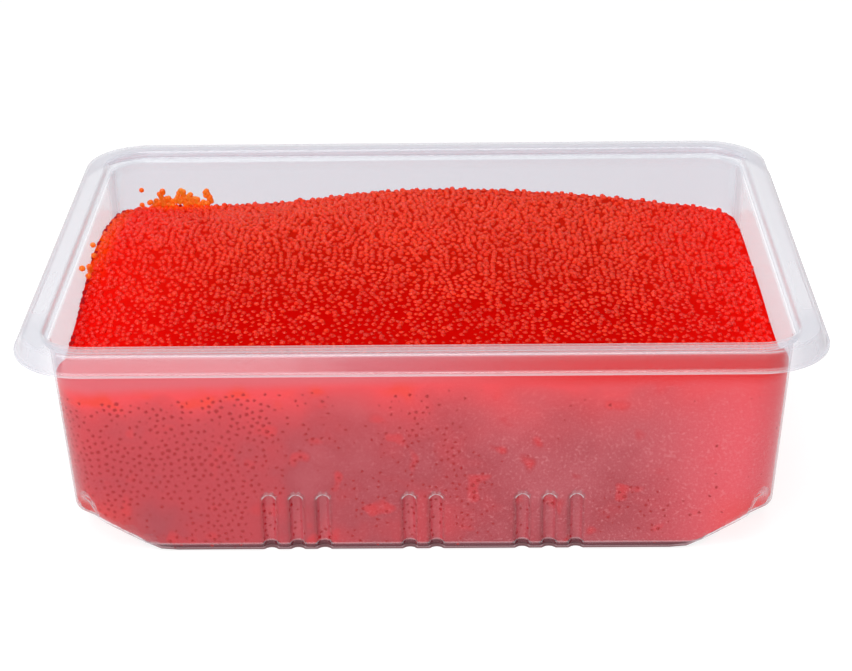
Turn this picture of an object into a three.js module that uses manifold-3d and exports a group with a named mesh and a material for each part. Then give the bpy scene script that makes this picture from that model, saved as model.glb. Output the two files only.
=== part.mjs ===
// A clear thermoformed plastic tub heaped with flying fish roe (tobiko), in millimetres with +Z up.
// X runs along the tub and Y across it. The origin is the middle of the tub's flat underside.
import * as THREE from "three";
import { mergeVertices } from "three/addons/utils/BufferGeometryUtils.js";
import Module from "manifold-3d";

const wasm = await Module();
wasm.setup();

// Driving dimensions of the tub
const lipLength = 180; // over the skirt's lip, along X
const lipWidth = 132; // over the skirt's lip, along Y
const tubHeight = 54;
const sheet = 0.5; // thickness of the plastic
const lipCorner = 16.7; // corner radius of the lip

// The rim: a skirt that flares downwards, a flat flange, and a recess that a lid would snap into
const skirtDrop = 4.6;
const skirtFlare = 1.5;
const edgeRound = 0.5; // bend from skirt to flange
const flangeWidth = 4.6;
const recessDepth = 2.1;
const recessDraft = 0.3;
const ledgeWidth = 1.3;

// The walls lean in towards the base, and a slanting facet cuts off each corner of the base
const wallDraft = THREE.MathUtils.degToRad(2.5);
const baseCorner = 12.5; // corner radius of the walls at the base
const baseRound = 1.5; // bend between wall and floor
const facetRun = 21; // what a facet takes off each wall, along the base
const facetRise = 12.5; // and off the upright corner

// Flutes pressed into the foot of the walls, and one short groove down each corner facet
const fluteRadius = 1.5;
const fluteSink = 0.4; // how far inside the wall's face a flute's axis lies
const fluteHeight = 14.8;
const flutePitch = 6.1;
const fluteGroupOffset = 28.6; // from the middle of a long wall to its outer groups of three
const grooveRadius = 2.8;

// The roe
const wallGap = 0.3; // clearance between roe and tub
const eggDiameter = 1.6;
const edgeLevel = tubHeight - 12; // where the heap meets the walls
const crown = 5.2; // rise of the heap's middle over that level
const rippleHeight = 0.5;
const cellsAlong = 22; // one raised egg stands in each cell
const cellsAcross = 14;
const eggJitter = 1.5;
const eggSides = 5;

// Where the heap runs higher or lower along the walls. Along and across run from -1 to 1.
const swells = [
  { along: -1, across: 0.3, rise: 4.3, spread: 0.38 },
  { along: 1, across: 0, rise: -1.2, spread: 0.5 },
  { along: 0.1, across: 1, rise: 1.9, spread: 0.35 },
  { along: -0.6, across: 1, rise: -2.3, spread: 0.3 },
  { along: -1, across: 1, rise: -2.4, spread: 0.3 },
  { along: 0.95, across: 1, rise: -4, spread: 0.3 },
  { along: -0.9, across: -1, rise: -2.2, spread: 0.3 },
];

const cornerSteps = 6;
const wallRings = 4;
const rodSides = 8;
const overrun = 6; // how far a cutting shape runs past what it cuts

// Insets from the lip's outline, and heights, that follow from the dimensions above
const recessInset = skirtFlare + edgeRound + flangeWidth;
const ledgeInset = recessInset + recessDraft;
const wallInset = ledgeInset + ledgeWidth - sheet; // to the wall's outer face
const ledgeHeight = tubHeight - recessDepth;
const wallCorner = lipCorner - wallInset;
const slope = Math.tan(wallDraft);
const baseInset = wallInset + (ledgeHeight - baseRound) * slope;
const baseHalfLength = lipLength / 2 - baseInset;
const baseHalfWidth = lipWidth / 2 - baseInset;
const eggRadius = eggDiameter / 2;
const quadrants = [[1, 1], [-1, 1], [-1, -1], [1, -1]];

function geometryOf(positions, index) {
  const geometry = new THREE.BufferGeometry();
  geometry.setAttribute("position", new THREE.Float32BufferAttribute(positions, 3));
  geometry.setIndex(index);
  return geometry;
}

// From a three.js geometry to a solid that can be cut and joined, and back
function solidOf(geometry) {
  const bare = geometry.clone();
  bare.deleteAttribute("normal");
  bare.deleteAttribute("uv");
  const merged = mergeVertices(bare, 1e-4);
  return new wasm.Manifold(
    new wasm.Mesh({
      numProp: 3,
      vertProperties: merged.attributes.position.array,
      triVerts: new Uint32Array(merged.index.array),
    }),
  );
}

function meshOf(name, solid, material) {
  const { vertProperties, triVerts } = solid.getMesh();
  const geometry = geometryOf(Array.from(vertProperties), Array.from(triVerts)).toNonIndexed();
  geometry.computeVertexNormals();
  const mesh = new THREE.Mesh(geometry, material);
  mesh.name = name;
  return mesh;
}

// One ring of points round the tub: a rectangle with rounded corners
function ringPoints({ inset, z, radius = lipCorner - inset }) {
  const reachX = lipLength / 2 - inset - radius;
  const reachY = lipWidth / 2 - inset - radius;
  return quadrants.flatMap(([sideX, sideY], corner) => {
    const points = [];
    for (let step = 0; step <= cornerSteps; step++) {
      const angle = ((corner + step / cornerSteps) * Math.PI) / 2;
      points.push([sideX * reachX + radius * Math.cos(angle), sideY * reachY + radius * Math.sin(angle), z]);
    }
    return points;
  });
}

// A closed solid through rings of equal length, from the bottom up, with a fan over the first and the last
function loft(stations) {
  const rings = stations.map(ringPoints);
  const count = rings[0].length;
  const last = (rings.length - 1) * count;
  const middles = [rings[0], rings.at(-1)].map((ring) => [0, 0, ring[0][2]]);
  const index = [];
  for (let side = 0; side < count; side++) {
    const next = (side + 1) % count;
    for (let start = 0; start < last; start += count) {
      index.push(start + side, start + next, start + next + count);
      index.push(start + side, start + next + count, start + side + count);
    }
    index.push(last + count, next, side);
    index.push(last + count + 1, last + side, last + next);
  }
  return solidOf(geometryOf([...rings, middles].flat(2), index));
}

// The wall at a height, moved inwards by a depth from its outer face
function wallStation(z, depth) {
  const share = (ledgeHeight - z) / (ledgeHeight - baseRound);
  return {
    inset: wallInset + (ledgeHeight - z) * slope + depth,
    radius: THREE.MathUtils.lerp(wallCorner, baseCorner, share) - depth,
    z,
  };
}

// The bend from floor to wall and the wall itself, from the bottom up
function wallRun(depth, top) {
  const foot = wallStation(baseRound, depth);
  const bend = baseRound - depth / 2;
  const run = [0, 0.5, 1].map((turn) => {
    const angle = (turn * Math.PI) / 2;
    const inwards = bend * (1 - Math.sin(angle));
    return {
      inset: foot.inset + inwards,
      radius: foot.radius - inwards,
      z: depth + bend * (1 - Math.cos(angle)),
    };
  });
  for (let ring = 1; ring <= wallRings; ring++) {
    run.push(wallStation(THREE.MathUtils.lerp(baseRound, top, ring / wallRings), depth));
  }
  return run;
}

// What lies beyond the four corner facets, once they are moved inwards by a depth
function facetBlocks(depth) {
  const size = 60; // reaches past every edge of the tub's corner
  const outwards = new THREE.Vector3(1 / facetRun, 1 / facetRun, -1 / facetRise).normalize();
  const blocks = quadrants.map(([sideX, sideY]) => {
    const normal = outwards.clone().multiply(new THREE.Vector3(sideX, sideY, 1));
    const corner = new THREE.Vector3(sideX * baseHalfLength, sideY * (baseHalfWidth - facetRun), 0);
    const middle = corner.addScaledVector(normal, size / 2 - depth);
    const block = new THREE.BoxGeometry(size * 2, size * 2, size);
    block.applyQuaternion(new THREE.Quaternion().setFromUnitVectors(new THREE.Vector3(0, 0, 1), normal));
    block.translate(middle.x, middle.y, middle.z);
    return solidOf(block);
  });
  return wasm.Manifold.union(blocks);
}

// The body inside the walls' outer face, shrunk by a depth on every side
function insideBody(depth, top) {
  return loft(wallRun(depth, top)).subtract(facetBlocks(depth));
}

// A round rod that starts below a foot point, climbs through it and ends in a dome
function rodSolid(foot, climb, reach, radius) {
  const profile = [
    new THREE.Vector2(0, -overrun),
    new THREE.Vector2(radius, -overrun),
    new THREE.Vector2(radius, reach),
    new THREE.Vector2(radius * Math.SQRT1_2, reach + radius * Math.SQRT1_2),
    new THREE.Vector2(0, reach + radius),
  ];
  const rod = new THREE.LatheGeometry(profile, rodSides);
  rod.applyQuaternion(new THREE.Quaternion().setFromUnitVectors(new THREE.Vector3(0, 1, 0), climb));
  rod.translate(foot.x, foot.y, foot.z);
  return solidOf(rod);
}

// Everything that is pressed into the outside of the tub, grown by a thickness: with the plastic's own it
// shapes the ribs that show inside, and with the roe's clearance added it shapes the roe
function pressings(growth) {
  const group = [-flutePitch, 0, flutePitch];
  const longWall = [
    ...group.map((x) => x - fluteGroupOffset),
    -flutePitch / 2,
    flutePitch / 2,
    ...group.map((x) => x + fluteGroupOffset),
  ];
  const places = [-1, 1].flatMap((side) => [
    ...longWall.map((x) => [x, side * (baseHalfWidth - fluteSink), 0, side]),
    ...group.map((y) => [side * (baseHalfLength - fluteSink), y, side, 0]),
  ]);
  const flutes = places.map(([x, y, facingX, facingY]) => {
    const foot = new THREE.Vector3(x, y, 0);
    const climb = new THREE.Vector3(facingX * slope, facingY * slope, 1).normalize();
    return rodSolid(foot, climb, fluteHeight - fluteRadius, fluteRadius + growth);
  });

  // A groove climbs its facet's steepest line, from the floor's edge out through the rounded corner above
  const facetSlope = facetRise / (facetRun * Math.SQRT1_2);
  const grooves = quadrants.map(([sideX, sideY]) => {
    const foot = new THREE.Vector3(
      sideX * (baseHalfLength - facetRun / 2),
      sideY * (baseHalfWidth - facetRun / 2),
      0,
    );
    const climb = new THREE.Vector3(sideX * Math.SQRT1_2, sideY * Math.SQRT1_2, facetSlope).normalize();
    return rodSolid(foot, climb, facetRun + overrun, grooveRadius + growth);
  });
  return wasm.Manifold.union([...flutes, ...grooves]);
}

// The tub is its outer form less its hollow, with ribs inside where the outside is pressed in
function makeTub() {
  const underFlange = tubHeight - sheet;
  const lipHeight = tubHeight - skirtDrop;
  const outerForm = loft([
    ...wallRun(0, ledgeHeight - sheet),
    { inset: ledgeInset - sheet, z: ledgeHeight - sheet },
    { inset: recessInset - sheet, z: underFlange },
    { inset: skirtFlare + sheet, z: underFlange },
    { inset: sheet, z: lipHeight },
    { inset: 0, z: lipHeight },
    { inset: skirtFlare, z: tubHeight - edgeRound },
    { inset: skirtFlare + edgeRound, z: tubHeight },
  ]).subtract(facetBlocks(0));
  const recess = loft([
    { inset: ledgeInset, z: ledgeHeight },
    { inset: recessInset, z: tubHeight },
    { inset: recessInset, z: tubHeight + overrun },
  ]);
  const hollow = insideBody(sheet, ledgeHeight).subtract(pressings(sheet)).add(recess);
  return outerForm.subtract(hollow).subtract(pressings(0));
}

// The heap's top surface
function heapHeight(along, across) {
  let height = edgeLevel + crown * (1 - along ** 2) * (1 - across ** 2);
  for (const swell of swells) {
    const distance = Math.hypot(along - swell.along, across - swell.across) / swell.spread;
    height += swell.rise * Math.exp(-(distance ** 2) / 2);
  }
  const mounds = Math.sin(5.1 * along + 1.3) * Math.cos(3.7 * across - 0.6);
  const furrows = Math.sin(8.3 * along * across + 2);
  return height + (rippleHeight / 2) * (mounds + furrows);
}

// A point of the heap's top, which is spread over a rectangle a little larger than the hollow
function heapPoint(along, across) {
  const { inset } = wallStation(tubHeight, sheet);
  return [along * (lipLength / 2 - inset), across * (lipWidth / 2 - inset), heapHeight(along, across)];
}

// A small repeatable random source
function seededRandom(seed) {
  let state = seed;
  return () => {
    state = (state * 1664525 + 1013904223) % 2 ** 32;
    return state / 2 ** 32;
  };
}

// Half an egg, and the cell around it. The cell's corners run anticlockwise from the lower right one.
function addEgg(add, index, [x, y, z], spin, corners) {
  const [foot, belt] = [0, 0.9].map((rise) =>
    Array.from({ length: eggSides }, (_, side) => {
      const turn = ((side + spin) * 2 * Math.PI) / eggSides - Math.PI / 4;
      const reach = eggRadius * Math.cos(rise);
      return add([x + reach * Math.cos(turn), y + reach * Math.sin(turn), z + eggRadius * Math.sin(rise)]);
    }),
  );
  const top = add([x, y, z + eggRadius]);
  for (let side = 0; side < eggSides; side++) {
    const next = (side + 1) % eggSides;
    index.push(foot[side], foot[next], belt[next], foot[side], belt[next], belt[side]);
    index.push(belt[side], belt[next], top);
  }

  // Each edge of the cell joins the egg's nearest point, and the egg's own sides join the cell's corners
  const nearest = corners.map((_, corner) => Math.round((corner * eggSides) / 4));
  corners.forEach((vertex, corner) => {
    const next = corners[(corner + 1) % 4];
    const start = nearest[corner];
    const end = corner === 3 ? eggSides : nearest[corner + 1];
    index.push(vertex, next, foot[start % eggSides]);
    for (let side = start; side < end; side++) {
      index.push(next, foot[(side + 1) % eggSides], foot[side]);
    }
  });
}

// A body of roe whose top is a grid of cells, each with one egg standing half out of it
function heapSolid() {
  const random = seededRandom(7);
  const positions = [];
  const index = [];
  const add = (point) => positions.push(...point) / 3 - 1;
  const pointAt = (row, column) => heapPoint((2 * column) / cellsAlong - 1, (2 * row) / cellsAcross - 1);

  const grid = Array.from({ length: cellsAcross + 1 }, (_, row) =>
    Array.from({ length: cellsAlong + 1 }, (__, column) => add(pointAt(row, column))),
  );
  for (let row = 0; row < cellsAcross; row++) {
    for (let column = 0; column < cellsAlong; column++) {
      const [x, y, z] = pointAt(row + 0.5, column + 0.5);
      const centre = [x + (2 * random() - 1) * eggJitter, y + (2 * random() - 1) * eggJitter, z];
      addEgg(add, index, centre, (random() - 0.5) / 2, [
        grid[row][column + 1],
        grid[row + 1][column + 1],
        grid[row + 1][column],
        grid[row][column],
      ]);
    }
  }

  // The border of the top, anticlockwise, goes straight down to a flat cut below the floor
  const border = [
    ...grid[0].slice(0, -1),
    ...grid.slice(0, -1).map((line) => line.at(-1)),
    ...grid.at(-1).slice(1).reverse(),
    ...grid.slice(1).map((line) => line[0]).reverse(),
  ];
  const below = border.map((vertex) => add([positions[3 * vertex], positions[3 * vertex + 1], -1]));
  const middle = add([0, 0, -1]);
  border.forEach((vertex, side) => {
    const next = (side + 1) % border.length;
    index.push(vertex, below[side], below[next], vertex, below[next], border[next]);
    index.push(middle, below[next], below[side]);
  });
  return solidOf(geometryOf(positions, index));
}

function makeRoe() {
  const clearance = sheet + wallGap;
  return heapSolid().intersect(insideBody(clearance, tubHeight)).subtract(pressings(clearance));
}

const clearPlastic = new THREE.MeshStandardMaterial({
  color: 0xe9eef2,
  roughness: 0.08,
  metalness: 0,
  transparent: true,
  opacity: 0.3,
});
const roeSkin = new THREE.MeshStandardMaterial({ color: 0xe02a16, roughness: 0.3, metalness: 0 });

const tubOfRoe = new THREE.Group();
tubOfRoe.add(meshOf("tub", makeTub(), clearPlastic), meshOf("roe", makeRoe(), roeSkin));

export default tubOfRoe;
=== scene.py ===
# A clear thermoformed tub heaped with flying fish roe, dressed over its CAD solids.
# Shapes are worked out in millimetres, in the CAD's own frame, and stored in metres.
import math
from functools import partial

import bpy
import numpy as np
from mathutils import Matrix, Vector


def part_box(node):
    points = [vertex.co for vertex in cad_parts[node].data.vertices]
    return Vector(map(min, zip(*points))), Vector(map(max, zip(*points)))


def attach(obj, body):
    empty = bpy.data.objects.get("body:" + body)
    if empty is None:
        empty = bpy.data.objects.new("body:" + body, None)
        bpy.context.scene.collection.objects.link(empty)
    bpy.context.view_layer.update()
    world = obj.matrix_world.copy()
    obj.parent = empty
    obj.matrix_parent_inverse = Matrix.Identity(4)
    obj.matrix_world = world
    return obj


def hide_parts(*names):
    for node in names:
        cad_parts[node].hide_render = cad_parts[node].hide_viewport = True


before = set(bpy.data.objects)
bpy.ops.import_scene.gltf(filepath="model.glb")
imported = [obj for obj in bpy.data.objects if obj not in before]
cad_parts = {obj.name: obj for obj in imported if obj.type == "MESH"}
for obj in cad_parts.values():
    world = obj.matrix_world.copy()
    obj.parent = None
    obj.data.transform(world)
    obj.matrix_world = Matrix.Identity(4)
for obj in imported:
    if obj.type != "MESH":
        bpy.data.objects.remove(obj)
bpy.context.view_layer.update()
tubLow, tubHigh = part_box("tub")
mm = 0.001
print("frame loaded:", sorted(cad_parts))


def hexColour(text):
    channels = [int(text[place:place + 2], 16) / 255 for place in (1, 3, 5)]
    linear = [c / 12.92 if c <= 0.04045 else ((c + 0.055) / 1.055) ** 2.4 for c in channels]
    return (*linear, 1.0)


# Adds a node with its settings, and sets its sockets by name or in order. A node or a socket given is linked,
# and a hex colour is turned to linear.
def addNode(tree, kind, sockets=(), **settings):
    node = tree.nodes.new(kind)
    for name, value in settings.items():
        setattr(node, name, value)
    for name, value in sockets.items() if isinstance(sockets, dict) else enumerate(sockets):
        source = value.outputs[0] if isinstance(value, bpy.types.Node) else value
        if isinstance(source, bpy.types.NodeSocket):
            tree.links.new(source, node.inputs[name])
        else:
            node.inputs[name].default_value = hexColour(value) if str(value).startswith("#") else value
    return node


# A material, or a world, with its surface built by a function that is given addNode for its tree
def newLook(kind, name, build, *settings):
    look = kind.new(name)
    look.use_nodes = True
    look.node_tree.nodes.clear()
    add = partial(addNode, look.node_tree)
    output = "ShaderNodeOutputWorld" if isinstance(look, bpy.types.World) else "ShaderNodeOutputMaterial"
    add(output, {"Surface": build(add, *settings)})
    return look


newMaterial = partial(newLook, bpy.data.materials)


def newObject(name, data):
    made = bpy.data.objects.new(name, data)
    bpy.context.scene.collection.objects.link(made)
    return made


# A mesh object from points in millimetres and lists of corners
def meshPiece(name, points, faces):
    mesh = bpy.data.meshes.new(name)
    mesh.from_pydata((np.asarray(points) * mm).tolist(), [], faces)
    mesh.validate()
    return newObject(name, mesh)


def pointsOf(mesh):
    points = np.empty(len(mesh.vertices) * 3)
    mesh.vertices.foreach_get("co", points)
    return points.reshape(-1, 3) / mm


def store(mesh, name, values):
    mesh.attributes.new(name, "FLOAT", "POINT").data.foreach_set("value", values)


def shadeSmooth(piece, sharpAngle=50):
    piece.data.shade_smooth()
    piece.data.set_sharp_from_angle(angle=math.radians(sharpAngle))


# Quads between rings of equal length, and from the last to the first where the rings close on themselves
def ringQuads(rings, closing=False):
    count = len(rings[0])
    faces = []
    for row in range(len(rings) - 1 + closing):
        here, above = row * count, (row + 1) % len(rings) * count
        for column in range(count):
            after = (column + 1) % count
            faces.append((here + column, here + after, above + after, above + column))
    return faces


# Joins rings into a closed body, with a fan at either end
def closedLoft(name, rings):
    count = len(rings[0])
    points = np.concatenate([*rings, [rings[0].mean(axis=0)], [rings[-1].mean(axis=0)]])
    faces = ringQuads(rings)
    first, last = len(points) - 2, len(points) - 1
    for column in range(count):
        after = (column + 1) % count
        faces += [(first, after, column), (last, first - count + column, first - count + after)]
    return meshPiece(name, points, faces)


# How far values are on the way from a start to an end, from 0 to 1
def ramp(values, start, end):
    return np.clip((values - start) / (end - start), 0, 1)


def smoothMin(one, other, blend):
    share = np.maximum(blend - np.abs(one - other), 0) / blend
    return np.minimum(one, other) - share * share * blend / 4


def unit(*values):
    vector = np.array(values, float)
    return vector / np.linalg.norm(vector)


# The tub. Insets are measured inwards from the lip's outline, depths inwards from the plastic's outer face.
tub = {
    "length": (tubHigh.x - tubLow.x) / mm,
    "width": (tubHigh.y - tubLow.y) / mm,
    "height": (tubHigh.z - tubLow.z) / mm,
    "sheet": 0.5,
    "lipCorner": 16.7,
    "skirtDrop": 4.6,
    "skirtInset": 1.75,  # of the skirt's upper end, before the bend
    "recessInset": 6.6,
    "ledgeInset": 6.9,
    "wallInset": 7.7,  # of the wall's outer face at the ledge
    "recessDepth": 2.1,
    "wallDraft": math.radians(2.5),
    "baseCorner": 12.5,
    "baseRound": 1.5,
    "floorMargin": 4,  # from the wall's foot to the flat of the floor
    "tightBend": 0.35,  # inner radius of the bends in the rim
    "lipFoot": 0.6,  # how far the skirt's lip turns out
    "skirtShifts": (1.2, 1.1),  # of the inner face at the skirt's upper end and its foot, in thicknesses
    "facetRun": 21,
    "facetRise": 12.5,
    "facetBlend": 1.4,
    "fluteRadius": 1.5,
    "fluteSink": 0.4,
    "fluteHeight": 14.8,
    "flutePitch": 6.1,
    "fluteGroupOffset": 28.6,
    "fluteBlend": 0.5,
    "grooveRadius": 2.8,
    "besideRise": 3,  # how steeply a groove's or a flute's form rises beside it
    "besideReach": (9, 3),  # how far aside of a flute, and how far in from its wall, points are measured
    "cornerSteps": 16,
    "bendSteps": 5,
}
ledgeHeight = tub["height"] - tub["recessDepth"]
pressedTop = tub["fluteHeight"] + 6  # nothing is pressed into the walls over this height
wallSlope = math.tan(tub["wallDraft"])
baseInset = tub["wallInset"] + (ledgeHeight - tub["baseRound"]) * wallSlope
baseHalfLength = tub["length"] / 2 - baseInset
baseHalfWidth = tub["width"] / 2 - baseInset
quadrants = ((1, 1), (-1, 1), (-1, -1), (1, -1))
groups = [group * tub["fluteGroupOffset"] for group in (-1, 1)]
shortFlutes = [place * tub["flutePitch"] for place in (-1, 0, 1)]
longFlutes = [middle + x for middle in groups for x in shortFlutes]
longFlutes += [-tub["flutePitch"] / 2, tub["flutePitch"] / 2]
footAlong, footAcross = baseHalfLength - tub["fluteSink"], baseHalfWidth - tub["fluteSink"]
fluteFeet = [(x, side * footAcross, 0, side) for side in (-1, 1) for x in longFlutes]
fluteFeet += [(side * footAlong, y, side, 0) for side in (-1, 1) for y in shortFlutes]
domeHeight = tub["fluteHeight"] - tub["fluteRadius"]
skirtCuts = (0.06, 0.35, 0.65, 0.94)
floorSteps = (0.1, 0.3, 0.5, 0.65, *np.arange(0.72, 0.99, 0.027))
floorRows = len(floorSteps) + 4
lowHeights = np.array([*np.arange(2.3, 12.5, 0.85), *np.arange(12.75, 15.7, 0.33), 16.5, 17.5, 18.7, 20.2])


def wallInsetAt(height):
    return tub["wallInset"] + (ledgeHeight - np.minimum(height, ledgeHeight)) * wallSlope


# Corner radius of the ring at an inset and a height: the rim's corners share one centre, the walls' open out
def cornerRadius(inset, height):
    if inset < tub["wallInset"] - 0.1:
        return tub["lipCorner"] - inset
    share = (ledgeHeight - min(height, ledgeHeight)) / (ledgeHeight - tub["baseRound"])
    wallCorner = tub["lipCorner"] - tub["wallInset"]
    atWall = wallCorner + (tub["baseCorner"] - wallCorner) * share
    return atWall - (inset - wallInsetAt(height))


# Where the columns of a side lie: close together over each flute, and further apart between them
columns = {
    "besideFlute": (0, 0.5, 0.95, 1.25, 1.42, 1.6, 1.95, 2.5),
    "step": 4,
    "leastGap": 1.5,
    "longReach": 64,
    "shortReach": 40,
}


def sideColumns(flutes, reach):
    fine = {round(axis + side * x, 3) for axis in flutes for x in columns["besideFlute"] for side in (-1, 1)}
    coarse = range(-reach, reach + 1, columns["step"])
    return sorted(fine | {x for x in coarse if min(abs(x - column) for column in fine) > columns["leastGap"]})


longColumns = sideColumns(longFlutes, columns["longReach"])
shortColumns = sideColumns(shortFlutes, columns["shortReach"])


# One ring round the tub, anticlockwise from above, starting at its +X side
def ringPoints(inset, height):
    radius = cornerRadius(inset, height)
    halfLength = tub["length"] / 2 - inset
    halfWidth = tub["width"] / 2 - inset
    sides = (
        [(x, halfWidth) for x in reversed(longColumns)],
        [(-halfLength, y) for y in reversed(shortColumns)],
        [(x, -halfWidth) for x in longColumns],
        [(halfLength, y) for y in shortColumns],
    )
    points = []
    for corner, (sideX, sideY) in enumerate(quadrants):
        for step in range(tub["cornerSteps"] + 1):
            angle = (corner + step / tub["cornerSteps"]) * math.pi / 2
            points.append((
                sideX * (halfLength - radius) + radius * math.cos(angle),
                sideY * (halfWidth - radius) + radius * math.sin(angle),
            ))
        points += sides[corner]
    return np.array([(x, y, height) for x, y in points])


# A line through (inset, height) corners with each bend an arc. A corner is (inset, height, bend radius).
def bentLine(corners, cuts):
    line, tangents = [], []
    for place in range(1, len(corners) - 1):
        here, before, after = (np.array(corners[p][:2]) for p in (place, place - 1, place + 1))
        radius = corners[place][2]
        back, ahead = unit(*(before - here)), unit(*(after - here))
        half = math.acos(np.clip(back @ ahead, -1, 1)) / 2
        reach = radius / math.tan(half)
        centre = here + unit(*(back + ahead)) * radius / math.sin(half)
        tangents.append((here + back * reach, centre, here + ahead * reach, radius))
    start = np.array(corners[0][:2])
    for place, (enter, centre, leave, radius) in enumerate(tangents):
        for share in cuts[place]:
            line.append(start + (enter - start) * share)
        first, last = enter - centre, leave - centre
        for step in range(tub["bendSteps"] + 1):
            turn = unit(*(first + (last - first) * step / tub["bendSteps"]))
            line.append(centre + turn * radius)
        start = leave
    end = np.array(corners[-1][:2])
    for share in cuts[-1]:
        line.append(start + (end - start) * share)
    return line


# Presses the corner facets, their grooves and the walls' flutes into points of the tub's body
def pressIn(points, depth, blend=1.0):
    run, rise = tub["facetRun"], tub["facetRise"]

    def hollow(aside, radius):
        within = np.sqrt(np.maximum(radius ** 2 - aside ** 2, 0))
        return tub["besideRise"] * np.maximum(aside - radius, 0) - within

    for sideX, sideY in quadrants:
        outward = unit(sideX / run, sideY / run, -1 / rise)
        climb = unit(sideX / math.sqrt(2), sideY / math.sqrt(2), rise * math.sqrt(2) / run)
        foot = np.array([sideX * (baseHalfLength - run / 2), sideY * (baseHalfWidth - run / 2), 0])
        away = points - foot
        height = away @ outward + depth
        groove = depth + hollow(np.abs(away @ np.cross(outward, climb)), tub["grooveRadius"] + depth)
        limit = smoothMin(np.zeros(len(points)), groove, blend)
        points = points + np.outer(smoothMin(height, limit, tub["facetBlend"] * blend) - height, outward)
    for x, y, facingX, facingY in fluteFeet:
        facing = np.array([facingX, facingY, 0])
        away = points - np.array([x, y, 0])
        outwards = away @ facing - points[:, 2] * wallSlope
        aside = away @ np.array([-facingY, facingX, 0])
        flute = hollow(np.hypot(aside, np.maximum(points[:, 2] - domeHeight, 0)), tub["fluteRadius"] + depth)
        points = points + np.outer(smoothMin(outwards, flute, tub["fluteBlend"] * blend) - outwards, facing)
    return points


# Rings over the floor, from the middle outwards, that end just inside a given ring
def floorRings(outerRing):
    return [outerRing * np.array([share, share, 1]) for share in floorSteps]


# One face of the plastic sheet, from the floor's middle out to the lip
def sheetFace(inside):
    sheet = tub["sheet"]
    depth = sheet if inside else 0
    bends = (tub["tightBend"] + sheet, tub["tightBend"])
    inBend, outBend = bends if inside else reversed(bends)
    shift = 0 if inside else -sheet
    lipHeight = tub["height"] - tub["skirtDrop"]
    wallFoot = wallInsetAt(depth) + depth
    upperShift, lowerShift = (shift * share for share in tub["skirtShifts"])
    corners = [
        (wallFoot + tub["floorMargin"], depth, 0),
        (wallFoot, depth, tub["baseRound"] - depth),
        (wallInsetAt(ledgeHeight) + depth, ledgeHeight + shift, inBend),
        (tub["ledgeInset"] + shift, ledgeHeight + shift, outBend),
        (tub["recessInset"] + shift, tub["height"] + shift, inBend),
        (tub["skirtInset"] - upperShift, tub["height"] + shift, inBend),
        (tub["lipFoot"] - lowerShift, lipHeight + sheet + shift, outBend),
        (0, lipHeight + sheet + shift, 0),
    ]
    lowWall = (lowHeights - tub["baseRound"]) / (ledgeHeight - tub["baseRound"])
    highWall = (0.45, 0.55, 0.65, 0.75, 0.85, 0.95)
    quarters = (0.25, 0.5, 0.75)
    cuts = [(0, *quarters), (*lowWall, *highWall), (0.5,), (0.3, 0.7), quarters, skirtCuts, (0.5, 1)]
    rings = [ringPoints(*point) for point in bentLine(corners, cuts)]
    rings = [*floorRings(rings[0]), *rings]
    return [pressIn(ring, depth) if ring[:, 2].max() < pressedTop else ring for ring in rings]


# How far points lie beside the axis of the nearest flute
def besideFlutes(points):
    most, inwards = tub["besideReach"]
    nearest = np.full(len(points), float(most))
    for x, y, facingX, facingY in fluteFeet:
        away = points - np.array([x, y, 0])
        aside = np.abs(away @ np.array([-facingY, facingX, 0]))
        near = away @ np.array([facingX, facingY, 0]) > -inwards
        nearest = np.where(near, np.minimum(nearest, aside), nearest)
    return nearest


# How the sheet's whiteness and shine are stored at its points. Whiteness is 0 for clear and 1 for white.
# Along bends and cut edges it is partly the sheet's own haze and partly painted highlight.
marks = {
    "uprightBends": 0.06,  # how much of an upright bend's whiteness shows
    "bendRange": (0.4, 1.6),  # curvature per millimetre at which the sheet starts to whiten, and is whitest
    "shortestEdge": 0.05,
    "lipBend": 0.4,  # whiteness kept by the bend of the skirt's foot, next to its cut edge
    "topBend": 0.85,
    "footBend": 0.15,
    "lipFootHaze": 0.5,
    "cutEdge": 0.85,
    "recessBend": 0.35,
    "recessHaze": 0.15,
    "emptyFrom": 36,  # height over which a wall has no roe behind it
    "wallSlack": 0.2,
    "sideArea": (74, 50),  # along and across: where the short walls' milky part starts and how far it reaches
    "longSides": 45,  # how far across from the middle the front and the back start
    "rimCorners": (78, 83),  # how far along the front rim the mist of its corners starts and is full
    "sideHaze": 0.3,  # of the short walls over the roe
    "rimMist": 0.4,
    "cornerMist": 0.9,  # of the rim's front corners
    "rimBend": (0.25, 0.35),  # least whiteness of the rim away from the front, and how much its bends add
    "footClear": (0.5, 3.5),  # heights between which slanting sheet starts to whiten and shine; lower down both are held back as painted shade, for the contact shadow the base would reflect
    "fluteReach": 2.3,  # how far beside its axis a flute counts
    "fluteClear": 0.25,
    "sideClear": 0.3,
}


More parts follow.
